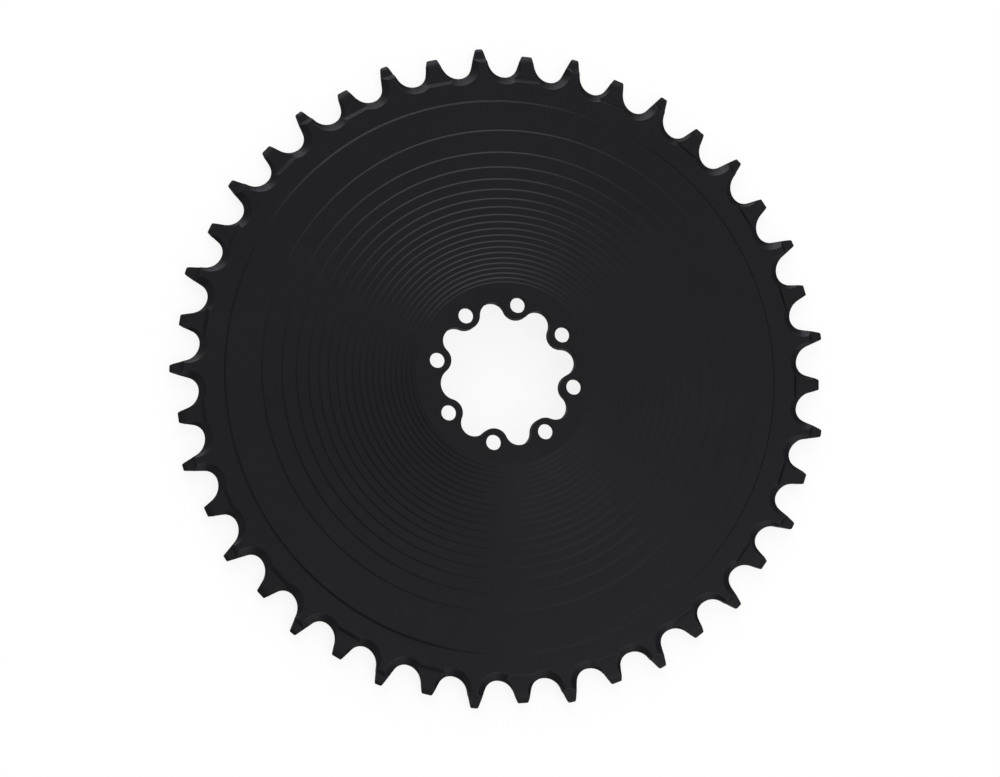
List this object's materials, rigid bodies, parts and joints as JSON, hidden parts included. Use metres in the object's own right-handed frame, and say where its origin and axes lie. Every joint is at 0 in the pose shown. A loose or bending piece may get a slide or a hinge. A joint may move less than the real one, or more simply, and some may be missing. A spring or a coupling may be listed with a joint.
{
  "type": "bicycle chainring",
  "caption": "Closed-disc bicycle chainring with alternating wide and narrow teeth, a dished terraced front and a bolt flange round a scalloped bore.",
  "frame": {"origin": "centre of the bolt circle, on the flat mounting face of the bolt flange", "axes": "+Z along the ring's axis, out of the mounting face; +X to the right and +Y up as the picture shows the ring, with the one shallow recess of the bore at about 192 degrees from +X"},
  "size_m": [0.1765, 0.1768, 0.01],
  "materials": {
    "anodised_aluminium": "black anodised, satin, with fine milling steps"
  },
  "bodies": {
    "root": {"chainring": "anodised_aluminium"}
  },
  "joints": []
}
